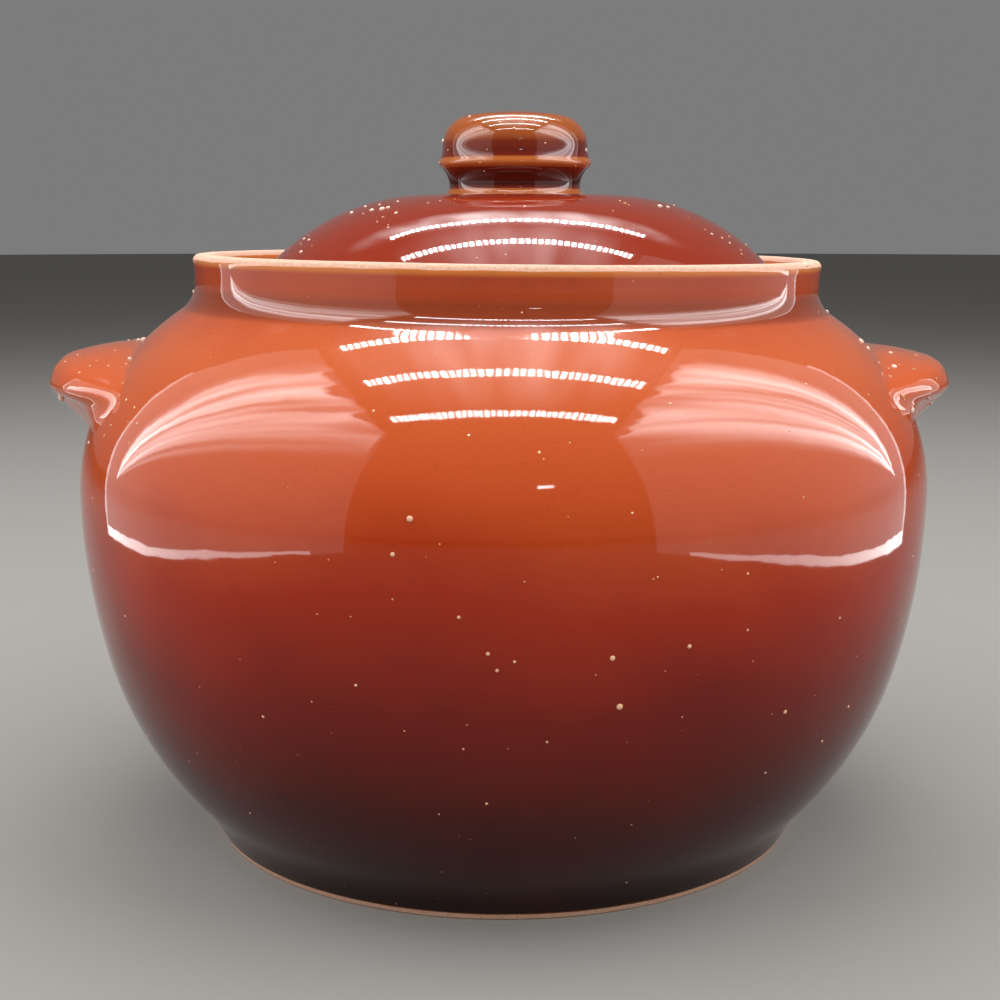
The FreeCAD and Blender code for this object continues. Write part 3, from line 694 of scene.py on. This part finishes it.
def grit_tree():
    """Sets crumbs of grit half into a glazed surface: chosen ones and a seeded scatter.

    The chosen crumbs come in as points with a size and with bare at 1 where no glaze
    covers them. The scatter keeps to the glazed outside.
    """
    tree, given = new_tree("Grit through the glaze", {
        "Chosen": "Geometry", "Piece": "Object", "Crumbs to a Square Metre": 7000.0,
        "Smallest": 0.16 * MM, "Largest": 0.62 * MM, "Flatness": 0.6, "Seed": 0,
        "Material": "Material"})
    clay = add(tree, "GeometryNodeObjectInfo", {"Object": given["Piece"]}).outputs["Geometry"]
    crumb = add(tree, "GeometryNodeMeshUVSphere", {"Segments": 7, "Rings": 4, "Radius": 0.5})
    crumb = add(tree, "GeometryNodeTransform", {
        "Geometry": crumb.outputs["Mesh"],
        "Scale": add(tree, "ShaderNodeCombineXYZ", {"X": 1.0, "Y": 1.0, "Z": given["Flatness"]})})
    crumbs = add(tree, "GeometryNodeInstanceOnPoints", {
        "Points": add(tree, "GeometryNodeJoinGeometry", {"Geometry": [
            chosen_crumbs(tree, given, clay), scattered_crumbs(tree, given, clay)]}),
        "Instance": crumb,
        "Rotation": add(tree, "GeometryNodeInputNamedAttribute", {"Name": "facing"},
                        data_type="QUATERNION"),
        "Scale": add(tree, "GeometryNodeInputNamedAttribute", {"Name": "size"}, data_type="FLOAT")})
    tone = add(tree, "FunctionNodeRandomValue", {
        "Min": 1.2, "Max": 3.0, "Seed": given["Seed"]}, data_type="FLOAT")
    crumbs = add(tree, "GeometryNodeStoreNamedAttribute", {
        "Geometry": crumbs, "Name": "thin", "Value": tone}, data_type="FLOAT", domain="INSTANCE")
    crumbs = add(tree, "GeometryNodeRealizeInstances", {"Geometry": crumbs})
    bare = add(tree, "GeometryNodeInputNamedAttribute", {"Name": "bare"}, data_type="FLOAT")
    place = add(tree, "ShaderNodeSeparateXYZ", {0: add(tree, "GeometryNodeInputPosition")})
    for name, value in (
        ("glaze", add(tree, "ShaderNodeMapRange", {
            "Value": bare, "To Min": ALL_GLAZED, "To Max": -ALL_GLAZED})),
        ("height", add(tree, "ShaderNodeMath", {
            0: place.outputs["Z"], 1: 1 / MM}, operation="MULTIPLY")),
    ):
        crumbs = add(tree, "GeometryNodeStoreNamedAttribute", {
            "Geometry": crumbs, "Name": name, "Value": value}, data_type="FLOAT", domain="POINT")
    whole = add(tree, "GeometryNodeJoinGeometry", {"Geometry": [crumbs, clay]})
    finish_clay(tree, whole, given["Material"])
    return tree


def run_tree(tree, name, start, values):
    """One object with the plain mesh that a tree makes of a starting mesh."""
    piece = bpy.data.objects.new(name, start)
    bpy.context.scene.collection.objects.link(piece)
    modifier = piece.modifiers.new(tree.name, "NODES")
    modifier.node_group = tree
    sockets = {item.name: item.identifier for item in tree.interface.items_tree
               if item.in_out == "INPUT"}
    for title, value in values.items():
        modifier[sockets[title]] = value
    graph = bpy.context.evaluated_depsgraph_get()
    made = bpy.data.meshes.new_from_object(piece.evaluated_get(graph), depsgraph=graph)
    piece.modifiers.clear()
    piece.data = made
    made.name = name
    return piece


def add_grit(tree, piece, crumbs, values):
    """Give a piece its grit; a crumb is (x, y, z, width, bare) in mm, with bare 0 or 1."""
    chosen = bpy.data.meshes.new(f"{piece.name}_crumbs")
    chosen.from_pydata([tuple(part * MM for part in crumb[:3]) for crumb in crumbs], [], [])
    store(chosen, {"size": [crumb[3] * MM for crumb in crumbs],
                   "bare": [float(crumb[4]) for crumb in crumbs]})
    gritty = run_tree(tree, f"{piece.name}_gritty", chosen, {"Piece": piece, **values})
    piece.data = gritty.data
    bpy.data.objects.remove(gritty)


# ---------------------------------------------------------------- materials

def plain_material(name, shade, roughness):
    """One even matte colour, for the floor under the pot."""
    material = bpy.data.materials.new(name)
    material.use_nodes = True
    join(material.node_tree, material.node_tree.nodes["Principled BSDF"], {
        "Base Color": linear(shade), "Roughness": roughness, "Specular IOR Level": 0.0})
    return material


def glazed_stoneware(name, tones_with_painted_light, thin_tone, pooled_tone):
    """Iron-brown glaze over buff stoneware, fired glossy.

    The eye gets a wet, slightly rippled gloss, a red-brown that deepens towards the foot,
    partly as painted shade, and lightens higher up as painted light, amber where the glaze
    runs thin over an edge, and matte sandy clay where it was wiped.
    """
    material = bpy.data.materials.new(name)
    material.use_nodes = True
    tree = material.node_tree
    where = add(tree, "ShaderNodeTexCoord").outputs["Object"]
    height, thin, margin, bare_crumb = (
        add(tree, "ShaderNodeAttribute", attribute_name=value).outputs["Fac"]
        for value in ("height", "thin", "glaze", "bare"))

    # Clouds in the glaze, its iron specks, the clay's sand and the glaze's ripple, by size in
    # mm. Specks are drawn a little coarser than they are, so that they show.
    cloud, specks, sand, peel = (
        add(tree, "ShaderNodeTexNoise", {"Vector": where, "Scale": 1 / (size * MM), "Detail": detail})
        for size, detail in ((38, 4.0), (0.7, 2.0), (0.6, 3.0), (3.2, 1.0)))

    cloudy_height = add(tree, "ShaderNodeMath", {
        0: add(tree, "ShaderNodeMapRange", {
            "Value": cloud, "To Min": -11.0, "To Max": 11.0}, clamp=False),
        1: height}, operation="ADD")
    share = add(tree, "ShaderNodeMapRange", {"Value": cloudy_height, "From Max": 130.0})
    glaze = add(tree, "ShaderNodeValToRGB", {"Fac": share}, stops=tones_with_painted_light)

    # The glaze is amber over edges, dark in hollows and at specks, and over a crumb of grit
    # thinner still than over an edge. Each tone comes in between two values, up to a share.
    for value, start, end, most, tone, easing in (
        (thin, 0.25, 0.95, 1.0, thin_tone, "SMOOTHSTEP"),
        (thin, -0.15, -0.9, 0.8, pooled_tone, "SMOOTHSTEP"),
        (specks, 0.6, 0.75, 0.14, pooled_tone, "SMOOTHSTEP"),
        (thin, 1.0, 3.0, 0.9, "F2C7A2", "LINEAR"),
    ):
        share = add(tree, "ShaderNodeMapRange", {
            "Value": value, "From Min": start, "From Max": end, "To Max": most,
        }, interpolation_type=easing)
        glaze = add(tree, "ShaderNodeMix", {
            "Factor": share, "A": glaze, "B": linear(tone)}, data_type="RGBA")

    clay = add(tree, "ShaderNodeValToRGB", {"Fac": sand}, stops=[(0.3, "CD9C82"), (0.7, "E2B79E")])
    clay = add(tree, "ShaderNodeMix", {
        "Factor": bare_crumb, "A": clay, "B": linear("F0DDC8")}, data_type="RGBA")
    glazed = add(tree, "ShaderNodeMapRange", {
        "Value": add(tree, "ShaderNodeMath", {0: sand, 1: 0.3, 2: margin}, operation="MULTIPLY_ADD"),
        "From Min": 0.05, "From Max": 0.25}, interpolation_type="SMOOTHSTEP")
    peel_bump = add(tree, "ShaderNodeBump", {"Height": peel, "Strength": 0.05, "Distance": 0.2 * MM})
    grain_bump = add(tree, "ShaderNodeBump", {"Height": sand, "Strength": 0.6, "Distance": 0.25 * MM})
    join(tree, tree.nodes["Principled BSDF"], {
        "Base Color": add(tree, "ShaderNodeMix", {
            "Factor": glazed, "A": clay, "B": glaze}, data_type="RGBA"),
        "Roughness": add(tree, "ShaderNodeMapRange", {
            "Value": glazed, "To Min": 0.85, "To Max": 0.04}),
        "Normal": add(tree, "ShaderNodeMix", {
            "Factor": glazed, "A": grain_bump, "B": peel_bump}, data_type="VECTOR"),
        "IOR": 1.39})
    return material


# ---------------------------------------------------------------- pieces

def smooth_max(first, second, blend):
    """The larger of two distances, rounded where they are within blend of each other."""
    near = np.maximum(blend - np.abs(first - second), 0) / blend
    return np.maximum(first, second) + near ** 2 * blend / 4


def rising(value, low, high):
    """0 below low, 1 above high and smooth between."""
    share = np.clip((value - low) / (high - low), 0, 1)
    return share ** 2 * (3 - 2 * share)


def from_pot(place):
    """Distance of a point outside the pot's wall, near the belly and the shoulder."""
    outside = walk(pot_outside())
    wall = outside[(outside[:, 1] > FLARE_RISE) & (outside[:, 1] < RIM_Z - RIM_RISE)]
    radius = np.interp(place[..., 2], wall[:, 1], wall[:, 0])
    slope = np.interp(place[..., 2], wall[:, 1], np.gradient(wall[:, 0], wall[:, 1]))
    return (np.hypot(place[..., 0], place[..., 1]) - radius) / np.sqrt(1 + slope ** 2)


def lug_clay(place, tip):
    """Distance outside a lug that points along +X as far as tip, before it is luted on.

    A wide rounded shelf. Its top arches down to the tip and falls to both ends. Its
    underside slopes back to the pot, more steeply towards the ends, where the thumb
    pressed a hollow on either side and left a soft border above it.
    """
    x, y, z = np.moveaxis(place, -1, 0)
    aside = np.abs(y)
    ridge_z = BELLY_Z + LUG_RIDGE_RISE
    rim = np.hypot(x - (tip - LUG_PLAN), y) - LUG_PLAN
    fall = radians(LUG_TOP_SLOPE)
    arch = np.hypot(x - tip + LUG_ARCH * sin(fall),
                    z - ridge_z - LUG_TIP_CLAY + LUG_ARCH * cos(fall)) - LUG_ARCH
    crown = np.hypot(y, arch + LUG_CROWN) - LUG_CROWN
    steeper = (LUG_END_SLOPE - LUG_UNDER_SLOPE) * rising(aside, *LUG_STEEPENS)
    slope = np.radians(LUG_UNDER_SLOPE + steeper)
    below_ridge = ridge_z + LUG_RIDGE_LIFT * rising(aside, 0, LUG_RIDGE_REACH) - z
    under = rim * np.sin(slope) + below_ridge * np.cos(slope)
    foot = LUG_FOOT_Z + LUG_FOOT_LIFT * (y / LUG_HALF_WIDTH) ** 2 - z
    clay = smooth_max(rim, crown, TOP_ROUND)
    clay = smooth_max(smooth_max(clay, under, RIDGE_ROUND), foot, FOOT_ROUND)
    border_z = ridge_z + BORDER_RISE
    hollow = (rising(border_z - z, *THUMB_DOWN) * rising(from_pot(place), *THUMB_OUT)
              * rising(aside, *THUMB_ASIDE))
    border = np.exp(-((z - border_z - BORDER_MIDDLE) / BORDER_WIDTH) ** 2)
    return clay + THUMB_DEPTH * hollow - BORDER_SWELL * border


def lug_mesh(name, side, tip):
    """A closed mesh of one lug with the fillet of slip that lutes it on; side is 1 or -1.

    Rays from a point behind the wall find the outer surface, and then, coming back, a
    surface inside the wall, so that the piece is whole and its border lies buried.
    """
    rings, spokes, halvings, rings_to_a_rear_ring = 110, 220, 34, 10
    widest_across, widest_up, tilt_up = radians(50), radians(24), radians(5)
    outward = np.array([cos(tilt_up), 0, sin(tilt_up)])
    upward = np.array([-outward[2], 0, outward[0]])
    across = np.array([0, 1, 0])
    behind = np.array([40, 0, 97])
    # How deep in the wall the border and the back lie, how far the rays reach, and how near
    # the wall a point counts as buried.
    buried, back, beyond, on_wall = 0.25, 3.0, 70.0, 0.4

    angles = np.linspace(0, 2 * pi, spokes, endpoint=False)[None, :]
    widest = 1 / np.hypot(np.cos(angles) / widest_across, np.sin(angles) / widest_up)
    tilts = np.linspace(0, 1, rings + 1)[1:, None] * widest
    heading = (np.cos(tilts)[..., None] * outward
               + (np.sin(tilts) * np.cos(angles))[..., None] * across
               + (np.sin(tilts) * np.sin(angles))[..., None] * upward)
    coarse = np.arange(rings - 1, -1, -rings_to_a_rear_ring)

    def outer(place):
        return -smooth_max(-lug_clay(place, tip), -(from_pot(place) + buried), SLIP_ROUND)

    def inner(place):
        return from_pot(place) + back

    def reached(directions, field):
        near, far = np.zeros(directions.shape[:-1]), np.full(directions.shape[:-1], beyond)
        for _ in range(halvings):
            middle = (near + far) / 2
            is_out = field(behind + directions * middle[..., None]) > 0
            near, far = np.where(is_out, near, middle), np.where(is_out, middle, far)
        return behind + directions * near[..., None]

    front, rear = reached(heading, outer), reached(heading[coarse], inner)
    poles = [reached(outward[None, :], field) for field in (outer, inner)]
    grid = np.concatenate([front, rear]).reshape(-1, 3)
    points = np.concatenate([poles[0], grid, poles[1]])
    count = rings + len(coarse)
    last = len(points) - 1
    faces = []
    for column in range(spokes):
        following = (column + 1) % spokes
        faces.append((0, 1 + column, 1 + following))
        for ring in range(count - 1):
            low, high = 1 + ring * spokes, 1 + (ring + 1) * spokes
            faces.append((low + column, high + column, high + following, low + following))
        low = 1 + (count - 1) * spokes
        faces.append((low + column, last, low + following))
    is_buried = (from_pot(points) < on_wall).astype(float)
    points[:, :2] *= side
    mesh = bpy.data.meshes.new(name)
    mesh.from_pydata((points * MM).tolist(), [], faces)
    shape = bmesh.new()
    shape.from_mesh(mesh)
    bmesh.ops.recalc_face_normals(shape, faces=shape.faces)
    shape.to_mesh(mesh)
    shape.free()
    store(mesh, {"height": points[:, 2].copy(), "glaze": np.full(len(points), ALL_GLAZED),
                 "inside": is_buried})
    return mesh


# ---------------------------------------------------------------- floor, lamps and camera

def make_floor():
    """A plain pale floor, far wider than the view."""
    mesh = bpy.data.meshes.new("floor")
    reach, count, just_below = 6.0, 96, -0.02 * MM
    turns = [2 * pi * i / count for i in range(count)]
    edge = [(reach * cos(turn), reach * sin(turn), just_below) for turn in turns]
    mesh.from_pydata(edge, [], [tuple(range(count))])
    floor = bpy.data.objects.new("floor", mesh)
    bpy.context.scene.collection.objects.link(floor)
    mesh.materials.append(plain_material("matte pale paper", "979591", 0.9))


def make_lamp(name, place, size, brightness, facing):
    """A flat lamp; brightness is how it shows beside white at 1."""
    light = bpy.data.lights.new(name, "AREA")
    light.shape = "RECTANGLE"
    light.size, light.size_y = size
    light.energy = 4 * size[0] * size[1] * brightness
    lamp = bpy.data.objects.new(name, light)
    lamp.location = place
    lamp.rotation_euler = Vector(facing).to_track_quat("-Z", "Y").to_euler()
    lamp.visible_camera = False
    bpy.context.scene.collection.objects.link(lamp)
    return lamp


def lamp_face(lamp):
    """A lamp's nodes, the node that shines, and places across the lamp from 0 to 1."""
    lamp.data.use_nodes = True
    tree = lamp.data.node_tree
    return tree, tree.nodes["Emission"], add(tree, "ShaderNodeNewGeometry").outputs["Parametric"]


def hang_cloth(lamp):
    """Soften a lamp with cloth: brightest in its middle, dark at its edges, and folded."""
    tree, shine, where = lamp_face(lamp)
    middle, folds_each_way = (0.5, 0.5, 0), (9.0, 1.2, 0)
    from_middle = add(tree, "ShaderNodeVectorMath", {0: where, 1: middle}, operation="DISTANCE")
    fading = add(tree, "ShaderNodeMapRange", {
        "Value": from_middle, "From Min": 0.5, "From Max": 0.1}, interpolation_type="SMOOTHSTEP")
    fold = add(tree, "ShaderNodeTexNoise", {
        "Vector": add(tree, "ShaderNodeVectorMath", {0: where, 1: folds_each_way}, operation="MULTIPLY"),
        "Scale": 1.0, "Detail": 1.0})
    folded = add(tree, "ShaderNodeMapRange", {
        "Value": fold, "From Min": 0.35, "From Max": 0.65, "To Min": 0.35, "To Max": 1.3})
    join(tree, shine, {"Strength": add(tree, "ShaderNodeMath", {
        0: fading, 1: folded}, operation="MULTIPLY")})


def string_lights(lamp, count):
    """Break a strip lamp into a row of small lights."""
    tree, shine, where = lamp_face(lamp)
    along = add(tree, "ShaderNodeSeparateXYZ", {0: where}).outputs["X"]
    lights = add(tree, "ShaderNodeMath", {0: along, 1: count}, operation="MULTIPLY")
    from_gap = add(tree, "ShaderNodeMath", {0: lights, 1: 0.5}, operation="PINGPONG")
    join(tree, shine, {"Strength": add(tree, "ShaderNodeMapRange", {
        "Value": from_gap, "From Min": 0.12, "From Max": 0.3, "To Min": 0.0, "To Max": 1.9,
    }, interpolation_type="SMOOTHSTEP")})


def gather_cloth(lamp, side):
    """Soften a wall's lamp with cloth gathered at the hem's back corner.

    Folds fan out from that corner, start above the hem, end before the back edge and end
    unevenly near the top; side is 1 or -1.
    """
    tree, shine, where = lamp_face(lamp)
    corner = (0.5 + 0.47 * side, 0.07, 0)
    from_corner = add(tree, "ShaderNodeSeparateXYZ", {
        0: add(tree, "ShaderNodeVectorMath", {0: where, 1: corner}, operation="SUBTRACT")})
    forward = add(tree, "ShaderNodeMath", {0: from_corner.outputs["X"], 1: -side}, operation="MULTIPLY")
    rise = from_corner.outputs["Y"]
    angle = add(tree, "ShaderNodeMath", {0: rise, 1: forward}, operation="ARCTAN2")
    along_fold = add(tree, "ShaderNodeMath", {0: rise, 1: 0.12}, operation="MULTIPLY")
    fold = add(tree, "ShaderNodeTexNoise", {
        "Vector": add(tree, "ShaderNodeCombineXYZ", {"X": angle, "Y": along_fold, "Z": 0.4 * side}),
        "Scale": 9.0, "Detail": 1.0})
    strength = add(tree, "ShaderNodeMapRange", {
        "Value": fold, "From Min": 0.35, "From Max": 0.65, "To Min": 0.2, "To Max": 1.2})
    uneven_rise = add(tree, "ShaderNodeMath", {0: fold, 1: 0.5, 2: rise}, operation="MULTIPLY_ADD")
    for value, dark, bright in ((angle, 0.5, 0.85), (angle, 1.5, 1.3), (uneven_rise, 1.12, 1.06)):
        share = add(tree, "ShaderNodeMapRange", {
            "Value": value, "From Min": dark, "From Max": bright}, interpolation_type="SMOOTHSTEP")
        strength = add(tree, "ShaderNodeMath", {0: strength, 1: share}, operation="MULTIPLY")
    join(tree, shine, {"Strength": strength})


def make_camera():
    """Looks a little down on the pot from close by."""
    aside, back, up, tip_down = -0.8, -362.0, 136.6, 0.175
    camera = bpy.data.objects.new("camera", bpy.data.cameras.new("camera"))
    camera.location = (aside * MM, back * MM, up * MM)
    camera.rotation_euler = (pi / 2 - tip_down, 0, 0)
    camera.data.lens = 57.46
    bpy.context.scene.collection.objects.link(camera)
    bpy.context.scene.camera = camera


def light_the_pot():
    """A grey room, cloth walls whose hems shine in the glaze, and softboxes above.

    Places and sizes are in metres. Some lamps only shine in the glaze and others only
    light it, so that each can be as bright as it should look.
    """
    world = bpy.data.worlds.new("studio")
    world.use_nodes = True
    join(world.node_tree, world.node_tree.nodes["Background"], {"Color": linear("7C7C7C")})
    bpy.context.scene.world = world
    shining, lighting = [], []
    for name, side, wall in (("left", -1, -0.37), ("right", 1, 0.34)):
        inward = (-side, 0, 0)
        before_wall = wall - 0.005 * side
        shining += [
            make_lamp(f"{name}_wall", (wall, -0.17, 0.36), (0.66, 0.72), 0.7, inward),
            make_lamp(f"{name}_hem", (before_wall, -0.105, 0.002), (0.53, 0.014), 5.0, inward),
            make_lamp(f"{name}_back_hem", (before_wall, 0.16, 0.17), (0.008, 0.34), 2.5, inward)]
        softbox = make_lamp(f"{name}_softbox", (before_wall, -0.17, 0.38), (0.6, 0.68), 8.5, inward)
        gather_cloth(softbox, side)
        shining.append(softbox)
        lighting.append(make_lamp(
            f"{name}_fill", (side * 0.77, -0.12, 0.66), (1.05, 0.6), 2.7, (-side, 0, -0.5)))
    for number, back in enumerate((-0.42, -0.14, 0.14, 0.42)):
        strip = make_lamp(f"overhead_strip_{number}", (0, back, 0.8), (0.7, 0.045), 26.0, (0, 0, -1))
        string_lights(strip, 38)
        shining.append(strip)
    hang_cloth(make_lamp("ceiling_cloth", (0, 0, 0.85), (0.95, 1.1), 3.0, (0, 0, -1)))
    hang_cloth(make_lamp("back_softbox", (0, 0.58, 0.92), (1.3, 0.34), 4.2, (0, -0.55, -0.8)))
    lighting.append(make_lamp("front_fill", (0, -1.15, 0.95), (1.3, 0.8), 2.0, (0, 1.15, -0.85)))
    make_lamp("front_lamp", (0.14, -0.78, 0.44), (0.05, 0.02), 25.0, (-0.14, 0.78, -0.35))
    for lamp in shining:
        lamp.visible_diffuse = False
    for lamp in lighting:
        lamp.visible_glossy = False
    bpy.context.scene.view_settings.view_transform = "Standard"


# ---------------------------------------------------------------- the object

make_camera()
light_the_pot()
make_floor()

# The pot's colour ramp darkens towards the foot and is lightest at the shoulder: painted shade under the
# belly and painted light on the shoulder, over the glaze's own deepening towards the foot.
pot_glaze = glazed_stoneware("iron brown glaze over buff stoneware", [
    (0.0, "1C0200"), (0.2, "460701"), (0.38, "721102"), (0.54, "9E2606"), (0.68, "BE4C20"),
    (0.85, "C25C32"), (1.0, "A43A1C")], thin_tone="C9743A", pooled_tone="2E0C06")
# Tone Rise puts the knob in the darker middle of the lid's colour ramp, which lightens towards the knob's
# top as a painted highlight.
lid_glaze = glazed_stoneware("darker iron brown glaze of the lid", [
    (0.0, "8E2F18"), (0.25, "862A15"), (0.45, "6A1E10"), (0.56, "6A1E10"), (0.62, "8A3E14")],
    thin_tone="B0602C", pooled_tone="2E0C06")

leaning, uneven = leaning_clay_tree(), uneven_clay_tree()
wheel, pressed = wheel_tree(leaning, uneven), pressed_tree(leaning, uneven)

pot_section = section_mesh(
    "pot_section", pot_outside() + pot_inside(), softness=0.25, longest_side=1.9,
    bare=pot_bare, inside=in_pot)
pot = run_tree(wheel, "pot_shell", pot_section, {
    "Turns": 336, "Ring Depth": 0.25 * MM, "Ring Pitch": 7.0, **COLLAR_LEAN,
    "Seed": 3.0, "Material": pot_glaze})

lid_section = section_mesh(
    "lid_section", lid_outline(), softness=0.3, longest_side=1.5, bare=lid_bare)
dome = run_tree(wheel, "lid_shell", lid_section, {
    "Turns": 320, "Centre": LID_MIDDLE * MM, "Foot": LEDGE_Z * MM,
    "Lean From": 1 * MM, "Lean To": 20 * MM, "Lean Shift": 0.4 * MM,
    "Seed": 11.0, "Material": lid_glaze})

knob_section = section_mesh("knob_section", knob_outline(), softness=0.25, longest_side=0.7)
# Tone Rise lifts the knob into the lid ramp's darker browns, which lighten towards its top as a painted
# highlight.
knob = run_tree(wheel, "knob_turned", knob_section, {
    "Turns": 220, "Centre": (LID_MIDDLE - KNOB_OFF_CENTRE) * MM, "Foot": (LEDGE_Z + CROWN_RISE) * MM,
    "Tone Rise": 64.0, "Swell": 0.1 * MM, "Swell Size": 14 * MM,
    "Seed": 17.0, "Material": lid_glaze})

left_lug, right_lug = (
    run_tree(pressed, f"{name}_pressed", lug_mesh(name, side, tip), {
        "Seed": seed, "Material": pot_glaze})
    for name, side, tip, seed in (
        ("left_lug", -1, LUG_TIP, 5.0),
        ("right_lug", 1, LUG_TIP - RIGHT_LUG_SHORTER, 8.0)))

grit = grit_tree()
for seed, (piece, node, body, slot, glaze) in enumerate((
    (pot, "pot_body", "pot", "glazed_stoneware", pot_glaze),
    (left_lug, "left_lug", "pot", "glazed_stoneware", pot_glaze),
    (right_lug, "right_lug", "pot", "glazed_stoneware", pot_glaze),
    (dome, "lid_dome", "lid", "glazed_stoneware_lid", lid_glaze),
    (knob, "lid_knob", "lid", "glazed_stoneware_lid", lid_glaze),
), start=21):
    add_grit(grit, piece, CRUMBS[node], {"Seed": seed, "Material": glaze})
    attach(piece, body)
    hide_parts(node)
